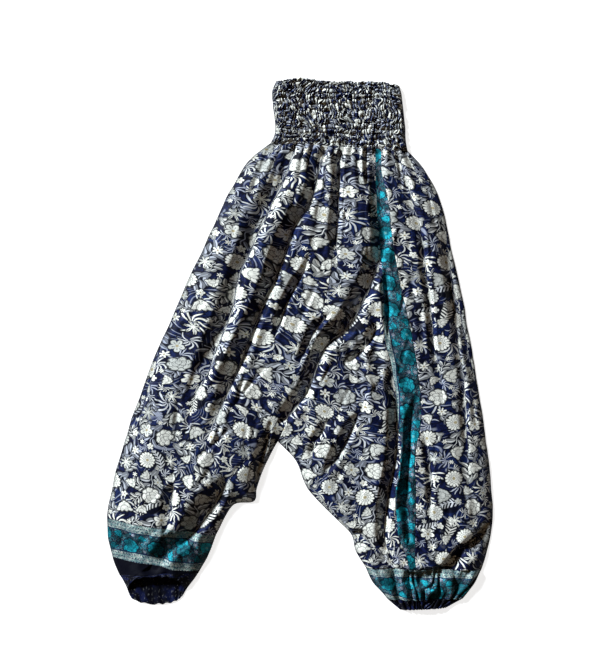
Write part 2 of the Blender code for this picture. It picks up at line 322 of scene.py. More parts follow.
def rounded(route):
    """A route on a smooth curve through its points."""
    if len(route) == 2:
        return route
    return [tuple(point) for point in smooth(route, np.linspace(0, 1, 4 * len(route)))]


def pleat_route(pleat):
    (left_x, left_y), (right_x, right_y) = WAIST_SEAM
    top = left_y + (pleat.at - left_x) / (right_x - left_x) * (right_y - left_y)
    return [(pleat.at, top + 4), (pleat.at + pleat.drift, top - pleat.length)]


def scatter_creases(kind, seed):
    """Small creases that fan out from the waist: the depth, width and route of each."""
    draw = np.random.default_rng(seed)
    creases = []
    for _ in range(kind.count):
        x, y = draw.uniform(CAD_BOX[0][0], CAD_BOX[1][0]) / MM, draw.uniform(-430, 330)
        heading = np.arctan2(x - FAN_TIP[0], FAN_TIP[1] - y) + draw.normal(0, kind.spread)
        half = draw.uniform(*kind.length) / 2
        dx, dy, bow = half * sin(heading), -half * cos(heading), draw.uniform(-0.2, 0.2)
        route = [(x - dx, y - dy), (x - bow * dy, y + bow * dx), (x + dx, y + dy)]
        creases.append((draw.uniform(*kind.depth), draw.uniform(*kind.width), rounded(route)))
    return creases


FOLD_ROUTES = [rounded(fold.route) for fold in FOLDS]
PLEAT_ROUTES = [pleat_route(pleat) for pleat in PLEATS]
SMALL_ROUTES = scatter_creases(SMALL_CREASES, 6)


def noise(x, y, seed):
    """Smooth random values from -1 to 1 on a unit lattice."""
    draw = np.random.default_rng(seed).uniform(-1, 1, (64, 64))
    ix, iy = np.floor(x).astype(int), np.floor(y).astype(int)
    fx, fy = x - ix, y - iy
    fx, fy = fx * fx * (3 - 2 * fx), fy * fy * (3 - 2 * fy)
    corner = [[draw[(iy + j) % 64, (ix + i) % 64] for i in (0, 1)] for j in (0, 1)]
    low = corner[0][0] + fx * (corner[0][1] - corner[0][0])
    high = corner[1][0] + fx * (corner[1][1] - corner[1][0])
    return low + fy * (high - low)


def eased(value):
    """0 to 1 on a smooth curve."""
    return (1 - np.cos(pi * np.clip(value, 0, 1))) / 2


def strength(fold, along):
    """How strong a fold is along its route: full in the middle, less at its ends."""
    rise = fold.start + (1 - fold.start) * eased(along / 0.3)
    fall = fold.end + (1 - fold.end) * eased((1 - along) / 0.35)
    return rise * fall


def wandered(x, y):
    """Moves points sideways on slow waves, so that folds don't run evenly."""
    return x + 5 * noise(x / 55, y / 70, 55), y + 5 * noise(x / 55, y / 70, 56)


def long_creases(x, y, seed):
    """Uneven creases that run down the legs, sharp at the bottom and round between."""
    fan = (x - FAN_TIP[0]) / (FAN_TIP[1] - y)
    wander = noise(x / 90, y / 120, seed)
    broad = 2 * np.abs(noise(fan * 20 + 1.5 * wander, y / 210, seed + 1)) - 0.6
    fine = noise(fan * 60 + wander, y / 80, seed + 2)
    return 0.7 * broad + 0.3 * fine


def distances_in(x, y):
    """How far a point lies from each side of the garment's outline."""
    return [nearest(x, y, route)[0] for route in OUTLINE]


def valley(gap, width):
    """1 at a crease and 0 from its width on, on a smooth slope."""
    return (1 + np.cos(pi * np.clip(gap / width, 0, 1))) / 2


def front_height(x, y):
    """Height of the front's outer face, in millimetres."""
    edges = distances_in(x, y)
    height = np.interp(y, [row.y for row in PUFF], [row.height for row in PUFF])
    for edge, reach in zip(edges, EDGE_ROLLS):
        height = height * (1 - np.exp(-edge / reach))
    body = 1 - np.exp(-np.min(edges, axis=0) / FULL_FROM)
    creases = LONG_HEIGHT * long_creases(x, y, 3)
    for dent in DENTS:
        creases += dent.height * noise(x / dent.size, y / dent.size, dent.seed)
    creases *= body
    near_x, near_y = wandered(x, y)
    for number, (fold, route) in enumerate(zip(FOLDS, FOLD_ROUTES)):
        gap, sign, along = nearest(near_x, near_y, route)
        power = 0.95 + UNEVEN * noise(7 * along, number + 0.5, 57)
        power *= strength(fold, along)
        beyond = sign * gap - SHIFT * fold.width
        width = fold.width * np.where(beyond < 0, LEAN, TUCK) * (0.5 + 0.5 * power)
        height *= 1 - fold.depth * power * valley(np.abs(beyond), width)
        ridge = np.exp(-(((np.abs(beyond) - 1.15 * width) / (0.5 * width)) ** 2)) * body
        creases += RIDGE * fold.depth * power * ridge
    bank_width = 3
    reach = SMALL_CREASES.length[1] / 2 + bank_width * SMALL_CREASES.width[1]
    for depth, width, route in SMALL_ROUTES:
        middle_x, middle_y = route[len(route) // 2]
        close = np.hypot(near_x - middle_x, near_y - middle_y) < reach
        gap, sign, along = nearest(near_x[close], near_y[close], route)
        slope = width * np.where(sign < 0, LEAN, TUCK)
        power = depth * body[close] * np.sin(pi * along)
        bank = BANK * valley(gap, bank_width * width)
        creases[close] -= power * (valley(gap, slope) - bank)
    for pleat, route in zip(PLEATS, PLEAT_ROUTES):
        gap, sign, along = nearest(x, y, route)
        width = pleat.width * np.where(sign < 0, LEAN, TUCK)
        bulge = PLEAT_BULGE * np.exp(-((gap / (2.5 * width)) ** 2))
        groove = np.exp(-((gap / width) ** 1.5))
        creases -= pleat.depth * (1 - along) ** 1.1 * (groove - bulge)
    lowest = FRONT_LEVEL + 0.02 * np.min(edges, axis=0)  # never quite flat
    return np.maximum(FRONT_LEVEL + height + creases, lowest)


def back_height(x, y):
    """Height of the back's outer face, which lies on the floor but for soft wrinkles."""
    edge = np.min(distances_in(x, y), axis=0)
    wrinkle = np.maximum(0, long_creases(x, y, 31)) * (1 - np.exp(-edge / 25))
    return np.minimum(BACK_LEVEL + WRINKLE_HEIGHT * wrinkle, front_height(x, y) - LAYER_GAP)


def sway(x, y):
    """Moves points a little sideways, so that seams and edges run unevenly."""
    wide, tight = (x / 34, y / 34), (x / 13, y / 13)
    return (
        x + 1.2 * noise(*wide, 41) + 0.3 * noise(*tight, 42),
        y + 1.2 * noise(*wide, 43) + 0.3 * noise(*tight, 44),
    )


def print_place(x, y, turn):
    """Where on the printed cloth a point of the front lies, in metres: laid out flat,
    with the cloth that the folds hide let out."""
    shift = np.zeros_like(x)
    near_x, near_y = wandered(x, y)
    for fold, route in zip(FOLDS, FOLD_ROUTES):
        gap, sign, along = nearest(near_x, near_y, route)
        tucked = fold.hidden * strength(fold, along) * np.exp(-gap / PRINT_REACH)
        shift += tucked * np.tanh((sign * gap / fold.width - SHIFT) / SHARP) / 2
    for pleat, route in zip(PLEATS, PLEAT_ROUTES):
        gap, sign, along = nearest(x, y, route)
        tucked = PLEAT_CLOTH * pleat.width * (1 - along)
        shift += tucked * np.tanh(sign * gap / (0.3 * pleat.width)) / 2
    u = x * cos(turn) - y * sin(turn) + shift
    v = x * sin(turn) + y * cos(turn)
    return u * MM, v * MM


# ---------------------------------------------------------------------------
# The print: motifs packed on a repeat. Lengths in millimetres but for the repeats.

MUM, PEONY, BLOSSOM, DAISY, LEAF, CUP = range(6)
FANNED, FERN, SPRIG = range(3)
Motif = namedtuple("Motif", "kind radius count")
REPEAT = (0.32, 0.40)
BLOOMS = [
    Motif(PEONY, 16, 13),
    Motif(MUM, 15, 12),
    Motif(CUP, 13.5, 14),
    Motif(LEAF, 16, 10),
    Motif(BLOSSOM, 12.5, 10),
    Motif(CUP, 9.5, 20),
    Motif(DAISY, 8, 26),
    Motif(BLOSSOM, 6.5, 18),
    Motif(DAISY, 4.5, 40),
]
SPRAYS = [
    Motif(FANNED, 26, 10),
    Motif(SPRIG, 23, 16),
    Motif(FERN, 22, 8),
    Motif(FANNED, 19, 30),
    Motif(SPRIG, 15, 40),
    Motif(FANNED, 12, 46),
]
BORDER_REPEAT = (0.19, 0.12)
BORDER_BLOOMS = [
    Motif(PEONY, 16, 3),
    Motif(MUM, 12, 3),
    Motif(LEAF, 11, 9),
    Motif(CUP, 8, 7),
    Motif(DAISY, 4, 10),
]
BORDER_WIDTH = 0.039  # the flowered zone, in metres, as are the next two
LINE_WIDTH = 0.0018
STRIPE_WIDTH = 0.015

TRIES = 300  # places that are drawn for each motif
CHOICES = 6  # of those with room, how many are compared, to spread the motifs


def pack(motifs, repeat, seed, overlap, half_height=None):
    """Places motifs on the repeat without crowding, in a band of that half height if
    there is one: rows of u, v, radius, turn, kind and tone."""
    draw = np.random.default_rng(seed)
    placed = np.zeros((0, 6))
    for motif in motifs:
        radius = motif.radius * MM
        for _ in range(motif.count):
            tries = draw.uniform(0, 1, (TRIES, 2)) * repeat
            if half_height:
                spread = max(half_height - 0.7 * radius, 0)
                tries[:, 1] = spread * (2 * tries[:, 1] / repeat[1] - 1)
            gap = np.abs(tries[:, None] - placed[None, :, :2]) % repeat
            gap = np.minimum(gap, np.array(repeat) - gap)
            room = np.hypot(gap[..., 0], gap[..., 1]) - (1 - overlap) * (placed[:, 2] + radius)
            room = room.min(axis=1, initial=1.0)
            fits = np.flatnonzero(room > 0)[:CHOICES]
            if len(fits):
                spot = fits[np.argmax(room[fits])]
                turn, tone = draw.uniform(0, 2 * pi), draw.uniform()
                placed = np.vstack([placed, [*tries[spot], radius, turn, motif.kind, tone]])
    return placed


def write_uv(mesh, name, uv):
    layer = mesh.uv_layers.new(name=name)
    layer.uv.foreach_set("vector", uv.astype(np.float32).ravel())


def write_motifs(mesh, name, uv, placed, repeat):
    """Gives every face the motif it lies in or beside: a UV map of the place within the
    motif, in its radii, and a face attribute of its kind, tone and radius."""
    starts = np.zeros(len(mesh.polygons), int)
    mesh.polygons.foreach_get("loop_start", starts)
    corners = len(mesh.loops) // len(mesh.polygons)
    face_of = np.repeat(np.arange(len(starts)), corners)
    centre = np.add.reduceat(uv, starts, axis=0) / corners
    du, dv = (
        (centre[:, None, axis] - placed[None, :, axis] + size / 2) % size - size / 2
        for axis, size in enumerate(repeat)
    )
    pick = np.argmin(np.hypot(du, dv) - placed[None, :, 2], axis=1)
    index = np.arange(len(pick))
    to_centre = np.column_stack([du[index, pick], dv[index, pick]])
    place = uv + (to_centre - centre)[face_of]
    chosen = placed[pick][face_of]
    turn_cos, turn_sin = np.cos(chosen[:, 3]), np.sin(chosen[:, 3])
    turned = np.column_stack([
        place[:, 0] * turn_cos + place[:, 1] * turn_sin,
        place[:, 1] * turn_cos - place[:, 0] * turn_sin,
    ]) / chosen[:, 2:3]
    write_uv(mesh, name, turned)
    facts = mesh.attributes.new(name + "Kind", "FLOAT_VECTOR", "FACE")
    values = np.column_stack([placed[pick, 4], placed[pick, 5], placed[pick, 2] / MM])
    facts.data.foreach_set("vector", values.astype(np.float32).ravel())


FLORAL_MOTIFS = [
    ("Blooms", pack(BLOOMS, REPEAT, 11, 0.02), REPEAT),
    ("Sprays", pack(SPRAYS, REPEAT, 12, 0.4), REPEAT),
]
BORDER_MOTIFS = [
    ("Blooms", pack(BORDER_BLOOMS, BORDER_REPEAT, 13, -0.2, BORDER_WIDTH / 2), BORDER_REPEAT),
]


# ---------------------------------------------------------------------------
# Shader arithmetic.


class Value:
    """A shader socket that can be used in Python arithmetic."""

    def __init__(self, finish, socket):
        self.finish, self.socket = finish, socket

    def math(self, operation, *others):
        return self.finish.node("ShaderNodeMath", {"operation": operation}, self, *others)

    def __add__(self, other):
        return self.math("ADD", other)

    def __mul__(self, other):
        return self.math("MULTIPLY", other)

    def __sub__(self, other):
        return self.math("SUBTRACT", other)

    def __truediv__(self, other):
        return self.math("DIVIDE", other)

    def __pow__(self, other):
        return self.math("POWER", other)

    def __rsub__(self, other):
        return self.finish.node("ShaderNodeMath", {"operation": "SUBTRACT"}, other, self)

    def __abs__(self):
        return self.math("ABSOLUTE")

    __radd__, __rmul__ = __add__, __mul__

    def over(self, edge, soft=0.04):
        """1 where the value is over the edge, softly."""
        return self.finish.node(
            "ShaderNodeMapRange", {"interpolation_type": "SMOOTHSTEP"},
            **{"Value": self, "From Min": edge - soft, "From Max": edge + soft},
        )

    def under(self, edge, soft=0.04):
        return 1 - self.over(edge, soft)

    def near(self, centre, reach, soft=0.03):
        """1 within reach of a centre."""
        return abs(self - centre).under(reach, soft)

    def is_kind(self, kind):
        return self.math("COMPARE", kind, 0.5)

    def least(self, other):
        return self.math("MINIMUM", other)

    def most(self, other):
        return self.math("MAXIMUM", other)


class Finish:
    """One cloth or floor material, built from expressions."""

    def __init__(self, name, roughness):
        self.material = bpy.data.materials.new(name)
        self.material.use_nodes = True
        self.tree = self.material.node_tree
        self.shader = self.tree.nodes["Principled BSDF"]
        self.shader.inputs["Roughness"].default_value = roughness
        self.shader.inputs["Specular IOR Level"].default_value = 0.08

    def node(self, kind, settings=None, *values, output=0, **named):
        """Adds a node: its settings first, then its sockets in order or by name."""
        node = self.tree.nodes.new(kind)
        for key, value in (settings or {}).items():
            setattr(node, key, value)
        for key, value in [*enumerate(values), *named.items()]:
            if isinstance(value, Value):
                self.tree.links.new(value.socket, node.inputs[key])
            else:
                node.inputs[key].default_value = value
        return Value(self, node.outputs[output])

    def split(self, vector):
        node = self.node("ShaderNodeSeparateXYZ", None, vector).socket.node
        return [Value(self, socket) for socket in node.outputs]

    def uv(self, name):
        return self.node("ShaderNodeUVMap", {"uv_map": name})

    def rim(self):
        """1 at the garment's outline and 0 within it: how much painted shade the cloth gets
        there.
        """
        return self.node("ShaderNodeAttribute", {"attribute_name": "Rim"}, output="Fac")

    def dye(self, colour, shade):
        """Colours the cloth, with painted shade along the garment's outline, where the cloth
        would turn under.
        """
        self.connect("Base Color", self.mix(self.rim() * 0.95, colour, shade))

    def facts(self, name):
        """Kind, tone and radius of the motif that a face lies in."""
        attribute = self.node(
            "ShaderNodeAttribute", {"attribute_name": name + "Kind"}, output="Vector")
        return self.split(attribute)

    def mix(self, factor, below, above):
        node = self.node("ShaderNodeMix", {"data_type": "RGBA"}).socket.node
        for socket, value in zip((node.inputs[0], node.inputs[6], node.inputs[7]),
                                 (factor, below, above)):
            if isinstance(value, Value):
                self.tree.links.new(value.socket, socket)
            else:
                socket.default_value = value
        return Value(self, node.outputs[2])

    def noise(self, vector, scale, detail=2.0, distortion=0.0):
        return self.node(
            "ShaderNodeTexNoise", {"noise_dimensions": "2D"},
            Vector=vector, Scale=scale, Detail=detail, Distortion=distortion,
        )

    def connect(self, socket, value):
        self.tree.links.new(value.socket, self.shader.inputs[socket])


def petals(angle, count, turn=0.0):
    """1 on the middle line of each petal and 0 between petals."""
    return abs((angle * (count / 2) + turn).math("COSINE"))


# Overlapping petals of a flower seen from the side, from the back one forwards. Each is
# drawn on both sides of the middle: its centre, half sizes and turn.
Petal = namedtuple("Petal", "x y width height turn")
PEONY_PETALS = [
    Petal(0.00, 0.54, 0.34, 0.42, 0.0),
    Petal(0.46, 0.34, 0.34, 0.46, -0.6),
    Petal(0.60, -0.14, 0.36, 0.32, -0.2),
    Petal(0.32, -0.52, 0.36, 0.32, 0.5),
    Petal(0.00, 0.14, 0.32, 0.38, 0.0),
    Petal(0.30, -0.06, 0.26, 0.36, -0.5),
    Petal(0.00, -0.24, 0.24, 0.30, 0.0),
]
CUP_PETALS = [
    Petal(0.00, 0.40, 0.36, 0.52, 0.0),
    Petal(0.42, 0.22, 0.28, 0.58, -0.5),
    Petal(0.64, -0.28, 0.22, 0.40, -1.1),
    Petal(0.20, -0.18, 0.28, 0.48, -0.25),
]
# Leaves along a stem, in the same way.
SPRIG_LEAVES = [
    Petal(0.00, 0.66, 0.17, 0.34, 0.0),
    Petal(0.34, 0.36, 0.16, 0.40, -0.8),
    Petal(0.42, -0.10, 0.16, 0.44, -1.0),
    Petal(0.38, -0.56, 0.15, 0.40, -0.9),
]


def inside_petal(x, y, petal):
    """Place within a petal, across and along it, from -1 to 1."""
    turn_cos, turn_sin = cos(petal.turn), sin(petal.turn)
    dx, dy = abs(x) - petal.x, y - petal.y
    across_it = (dx * turn_cos - dy * turn_sin) / petal.width
    along_it = (dx * turn_sin + dy * turn_cos) / petal.height
    return across_it, along_it


def layered(x, y, table):
    """How far inside the petals a point is, and the lines that part them."""
    least, ink = None, None
    for petal in table:
        across_it, along_it = inside_petal(x, y, petal)
        reach = across_it * across_it + along_it * along_it
        inside = reach.under(1.0, 0.08)
        rim = reach.over(0.70, 0.12) * inside
        hatch = abs((across_it * 6.0).math("COSINE")).under(0.4, 0.25) * along_it.under(0.0, 0.3)
        rim = rim.most(0.75 * hatch * inside)
        least = reach if least is None else least.least(reach)
        ink = rim if ink is None else (ink * (1 - inside)).most(rim)
    return (1 - least) * 0.25, ink


def bloom_shapes(finish, name):
    """How far inside a flower or maple-like leaf a point is, its drawn lines, its eye,
    its kind and its tone."""
    kind, tone, _ = finish.facts(name)
    place = finish.uv(name)
    wobble = finish.noise(place, 1.9, 1.0) - 0.5
    x, y, _ = finish.split(place)
    ragged = finish.noise(place, 6.5, 1.0) - 0.5
    x, y = x + 0.16 * wobble + 0.10 * ragged, y - 0.12 * wobble + 0.10 * ragged
    radius = (x * x + y * y).math("SQRT")
    angle = y.math("ARCTAN2", x)

    edge = 0.76 + 0.20 * petals(angle, 15) ** 0.7
    ink = petals(angle, 15).under(0.26, 0.16) * radius.over(0.62, 0.08)
    inner = radius - 0.15 * petals(angle, 11, 0.8)
    ink = ink.most(inner.near(0.44, 0.03)).most(inner.near(0.22, 0.025))
    ink = ink.most(petals(angle, 11, 0.8).under(0.2, 0.12) * inner.near(0.36, 0.12))
    inside = kind.is_kind(MUM) * (edge - radius)
    lines = kind.is_kind(MUM) * ink

    for flower, table in ((PEONY, PEONY_PETALS), (CUP, CUP_PETALS)):
        edge, ink = layered(x, y, table)
        veins = petals(angle, 22).under(0.25, 0.15) * radius.near(0.30, 0.16, 0.08)
        inside = inside + kind.is_kind(flower) * edge
        lines = lines + kind.is_kind(flower) * ink.most(0.8 * veins)

    edge = 0.24 + 0.70 * petals(angle, 5) ** 0.5
    ink = petals(angle, 5).over(0.97, 0.02) * radius.near(0.42, 0.18, 0.05)
    inside = inside + kind.is_kind(BLOSSOM) * (edge - radius)
    lines = lines + kind.is_kind(BLOSSOM) * ink

    edge = 0.26 + 0.70 * petals(angle, 6) ** 1.3
    inside = inside + kind.is_kind(DAISY) * (edge - radius)

    edge = 0.12 + 0.82 * petals(angle, 7) ** 2.2 * (0.8 + 0.2 * angle.math("COSINE"))
    ink = petals(angle, 7).over(0.97, 0.02) * radius.over(0.12)
    inside = inside + kind.is_kind(LEAF) * (edge - radius)
    lines = lines + kind.is_kind(LEAF) * ink

    open_flower = kind.is_kind(BLOSSOM) + kind.is_kind(DAISY) + kind.is_kind(MUM)
    eye = radius.under(0.17, 0.03) * open_flower
    return inside, lines, eye, kind, tone


def spray_shapes(finish, name):
    """Mask of the fans, ferns and leafy sprigs that lie under the flowers, the shade
    round them, their half that is drawn darker, and the motif's tone."""
    kind, tone, _ = finish.facts(name)
    place = finish.uv(name)
    wobble = finish.noise(place, 1.6, 0.0) - 0.5
    x, y, _ = finish.split(place)
    radius = (x * x + y * y).math("SQRT")
    angle = y.math("ARCTAN2", x) + 0.9 * radius + 0.6 * wobble

    tip = 0.66 + 0.32 * abs((angle * 2.5 + 0.7).math("COSINE"))
    blade = abs((angle * 5.0).math("COSINE")) - 0.72 - 0.28 * (radius / tip) ** 2.0
    in_fan = angle.near(0.3, 2.3) * radius.near(0.56, 0.46)
    fan = blade.over(0.0, 0.05) * in_fan
    shade = blade.over(-0.3, 0.1) * in_fan

    stem = y - 0.35 * x * x + 0.12
    barbs = abs(((x - 0.7 * abs(stem)) * 12.0).math("SINE"))
    reach = 0.42 - 0.36 * x * x - abs(stem)
    fern = (barbs.over(0.74, 0.14) * reach.over(0.02)).most(abs(stem).under(0.03, 0.02))
    fern = fern * radius.under(0.92)

    bowed = x + 0.4 * wobble
    sprig = abs(bowed).under(0.022, 0.018) * abs(y).under(0.8)
    half = None
    for leaf in SPRIG_LEAVES:
        across_it, along_it = inside_petal(bowed, y, leaf)
        inside = (1 - along_it * along_it - abs(across_it)).over(0.0, 0.08)
        sprig = sprig.most(inside * abs(across_it).over(0.10, 0.06))
        dark = inside * across_it.over(0.05, 0.05)
        half = dark if half is None else half.most(dark)
    mask = kind.is_kind(FANNED) * fan + kind.is_kind(FERN) * fern + kind.is_kind(SPRIG) * sprig
    shade = shade * kind.is_kind(FANNED) + (1 - kind.is_kind(FANNED)) * radius.under(0.8, 0.1)
    return mask, shade, half * kind.is_kind(SPRIG), tone


def crepe(finish):
    """The grain and crinkle of thin crêpe, as bump and roughness."""
    cloth = finish.uv("Cloth")
    grain = finish.noise(cloth, 1500.0, 2.0)
    crinkle = finish.noise(cloth, 150.0, 3.0)
    height = crinkle + 0.2 * grain
    finish.connect("Normal", finish.node(
        "ShaderNodeBump", None, Strength=0.4, Distance=0.0008, Height=height))
    finish.connect("Roughness", 0.5 + 0.2 * grain)


def inks(*names):
    """Colours of the prints, as the shaders take them."""
    colours = bpy.context.scene.harem_inks
    return [(*getattr(colours, name), 1) for name in names]


def floral_cloth():
    """Cream flowers over pale sprays and thin stems on navy."""
    navy, deep, indigo, cream, silver, lilac, tan, line = inks(
        "navy", "deep_navy", "indigo", "cream", "silver", "lilac", "tan", "line")
    finish = Finish("floral_cloth", 0.6)
    cloth = finish.uv("Cloth")
    patch = finish.noise(cloth, 20.0, 2.0)
    scribble = finish.noise(cloth, 230.0, 1.0, 1.2)
    colour = finish.mix(patch.over(0.52, 0.16), navy, indigo)
    colour = finish.mix(scribble.over(0.54, 0.05) * 0.75, colour, deep)
    stem = (finish.noise(cloth, 15.0, 0.0, 0.7) * 10.0).math("FRACT")
    colour = finish.mix(stem.near(0.5, 0.07, 0.05) * patch.over(0.46, 0.05) * 0.7, colour, lilac)
    colour = finish.mix(stem.near(0.25, 0.12, 0.05) * 0.7, colour, deep)
    mask, shade, half, tone = spray_shapes(finish, "Sprays")
    colour = finish.mix(shade * 0.9, colour, deep)
    colour = finish.mix(mask, colour, finish.mix(tone, lilac, cream))
    colour = finish.mix(half * mask * 0.7, colour, line)
    inside, ink, eye, _, tone = bloom_shapes(finish, "Blooms")
    colour = finish.mix(inside.over(-0.16, 0.09), colour, deep)
    petal = finish.mix(tone.over(0.8, 0.1), cream, silver)
    petal = finish.mix(ink * 0.95, petal, line)
    petal = finish.mix(eye, petal, tan)
    colour = finish.mix(inside.over(0.0, 0.03), colour, petal)
    # Paints deep navy shade along the garment's outline.
    finish.dye(colour, deep)
    crepe(finish)
    return finish.material


def border_cloth():
    """Turquoise flowers on dark teal between two narrow mint stripes. The Cloth map's v
    runs across the border, from its middle."""
    navy, deep, silver, lilac, cream, turquoise, teal, mint = inks(
        "navy", "deep_navy", "silver", "lilac", "cream", "turquoise", "teal", "mint")
    finish = Finish("border_cloth", 0.6)
    cloth = finish.uv("Cloth")
    u, v, _ = finish.split(cloth)
    patch = finish.noise(cloth, 70.0, 2.0)
    fleck = finish.noise(cloth, 330.0, 1.0, 1.5)
    colour = finish.mix(patch.over(0.5, 0.15), navy, teal)
    colour = finish.mix(fleck.over(0.58, 0.04) * 0.7, colour, turquoise)
    thread = finish.noise(cloth, 420.0, 1.0, 2.0)
    colour = finish.mix(thread.over(0.60, 0.04) * 0.4, colour, silver)
    inside, ink, eye, kind, tone = bloom_shapes(finish, "Blooms")
    petal = finish.mix(fleck.over(0.56, 0.06) * 0.7, turquoise, teal)
    petal = finish.mix(ink * 0.9, petal, navy)
    petal = finish.mix(kind.is_kind(DAISY) + kind.is_kind(LEAF) * tone.over(0.5), petal, lilac)
    petal = finish.mix(eye * 0.7, petal, mint)
    colour = finish.mix(inside.over(-0.12, 0.07), colour, deep)
    colour = finish.mix(inside.over(0.0, 0.03), colour, petal)
    blotch = finish.noise(cloth, 48.0, 2.0)
    colour = finish.mix(blotch.over(0.50, 0.08) * 0.7, colour, deep)
    beyond = abs(v) - BORDER_WIDTH / 2
    leaves = abs((u * 620.0 + (v * 500.0).math("SINE")).math("SINE"))
    leaves = leaves * abs((v * 520.0).math("COSINE"))
    stripe = finish.mix(leaves.over(0.55, 0.15), mint, navy)
    stripe = finish.mix(fleck.over(0.55, 0.05) * 0.6, stripe, cream)
    stripe = finish.mix(patch.over(0.5, 0.1) * 0.5, stripe, teal)
    colour = finish.mix(beyond.over(0.0, 0.0004), colour, navy)
    colour = finish.mix(beyond.over(LINE_WIDTH, 0.0004), colour, stripe)
    colour = finish.mix(beyond.over(LINE_WIDTH + STRIPE_WIDTH, 0.0004), colour, deep)
    # Paints deep navy shade along the garment's outline.
    finish.dye(colour, deep)
    crepe(finish)
    return finish.material


def navy_cloth():
    """Dark navy with a faint sprinkle, for the gathered hems."""
    navy, deep, silver = inks("navy", "deep_navy", "silver")
    finish = Finish("navy_cloth", 0.6)
    cloth = finish.uv("Cloth")
    specks = finish.noise(cloth, 300.0, 2.0)
    patch = finish.noise(cloth, 60.0, 1.0)
    colour = finish.mix(patch.over(0.55, 0.1) * 0.7, deep, navy)
    finish.connect("Base Color", finish.mix(specks.over(0.68, 0.04) * 0.16, colour, silver))
    crepe(finish)
    return finish.material


CLOTHS = {"floral_print": floral_cloth, "teal_border": border_cloth, "navy_plain": navy_cloth}


def material_of(slot):
    """The material of a slot, made when first asked for."""
    make = CLOTHS[slot]
    return bpy.data.materials.get(make.__name__) or make()


# ---------------------------------------------------------------------------
# Making pieces.


def grid_mesh(name, columns, rows, size=1):
    bm = bmesh.new()
    bmesh.ops.create_grid(bm, x_segments=columns, y_segments=rows, size=size)
    mesh = bpy.data.meshes.new(name)
    bm.to_mesh(mesh)
    bm.free()
    return mesh


def put(name, data):
    """A new object of the scene."""
    new = bpy.data.objects.new(name, data)
    bpy.context.collection.objects.link(new)
    return new


def lay(name, node, slot, place, columns, rows, motifs=(), closed=False, down=None):
    """A thin shell of cloth that stands for a node. place(down, share) gives x, y and z in
    millimetres and the print's u and v in metres, for shares from 0 to 1."""
    mesh = grid_mesh(name, columns, rows)
    grid = np.zeros(3 * len(mesh.vertices))
    mesh.vertices.foreach_get("co", grid)
    grid = grid.reshape(-1, 3)
    share = (1 + grid[:, 0]) / 2
    along = (1 - grid[:, 1]) / 2
    if down is not None:
        along = np.interp(along, np.linspace(0, 1, len(down)), down)
    x, y, z, u, v = place(along, share)
    # Rim: painted shade, strongest at the garment's outline and fading inwards.
    rim = mesh.attributes.new("Rim", "FLOAT", "POINT")
    rim.data.foreach_set("value", np.exp(-np.min(distances_in(x, y), axis=0) / RIM))
    x, y = sway(x, y)
    mesh.vertices.foreach_set("co", (np.column_stack([x, y, z]) * MM).ravel())
    corner = np.zeros(len(mesh.loops), int)
    mesh.loops.foreach_get("vertex_index", corner)
    uv = np.column_stack([u, v])[corner]
    write_uv(mesh, "Cloth", uv)
    for layer_name, placed, repeat in motifs:
        write_motifs(mesh, layer_name, uv, placed, repeat)
    if closed:
        bm = bmesh.new()
        bm.from_mesh(mesh)
        bmesh.ops.remove_doubles(bm, verts=bm.verts, dist=MM / 1000)
        bm.to_mesh(mesh)
        bm.free()
    mesh.shade_smooth()
    piece = put(name, mesh)
    mesh.materials.append(material_of(slot))
    wall = piece.modifiers.new("Wall", "SOLIDIFY")
    wall.thickness = bpy.context.scene.harem_cloth.thickness
    wall.offset = -1
    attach(piece, "root")
    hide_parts(node)
    return piece


def around(share, split=0.5):
    """Splits the way round a tube: whether on the front, and the share across it."""
    return share <= split, np.where(share <= split, share / split, (1 - share) / (1 - split))


def roll(share, width, reach):
    """0 at both edges of a tube and 1 further in."""
    return 1 - np.exp(-np.minimum(share, 1 - share) * width / reach)


MID_LEVEL = (FRONT_LEVEL + BACK_LEVEL) / 2
WAIST_RIBS = 42
WAIST_ROWS = 13
WAIST_WIDTH = 240
WAIST_FRONT = 0.7  # share of the waistband's columns that lie on its front
PUCKER = 5.4  # height of its puckers
WAIST_LIFT = 4.0  # how far it stands over the flat cloth
WAIST_LENGTH = 1.5  # cloth per length down the waistband
RIB_CLOTH = 0.022  # cloth gathered into each rib of the waistband, in metres
RIB_SHOWN = 0.011  # how much of it shows
RIB_TUCK = 0.14  # share of a rib's width where the rest is hidden
BAND_WIDTH = 200  # of the cuff bands and the right hem
HEM_WIDTH = 150  # of the left hem
HEM_CLOTH = 0.04  # length of its cloth from the band to the lip, in metres
HEM_LIFT = 0.5  # how far the gathered hem lies off the floor
HEM_GATHERS = 9  # on each side of it
GATHER_HEIGHT = 1.6
GATHER_DEPTH = 1.5  # how far the gathers draw the lip in and out
LEFT_TURN = 0.30  # how far the left leg's print is turned
RIGHT_TURN = -0.04
UNDERSIDE_SHIFT = 0.8  # moves the print on hidden sides to another part of the cloth


def off_middle(level, rolled):
    """Height of a tube's wall, which comes to the middle level at both edges."""
    return MID_LEVEL + (level - MID_LEVEL) * rolled


def wrapped(front, u):
    """The print's u on the front or on the underside, where it runs the other way."""
    return np.where(front, u, UNDERSIDE_SHIFT - u)


def leg_front(rows, turn, end=None):
    """Places of a front panel, from its leg's left side to its right one or to a seam."""
    def place(down, share):
        x, y = across(rows, down, share * end(down) if end else share)
        return x, y, front_height(x, y), *print_place(x, y, turn)
    return place


def strip_start(down):
    return smooth(STRIP, down)[..., 0]


def strip_end(down):
    return smooth(STRIP, down)[..., 1]


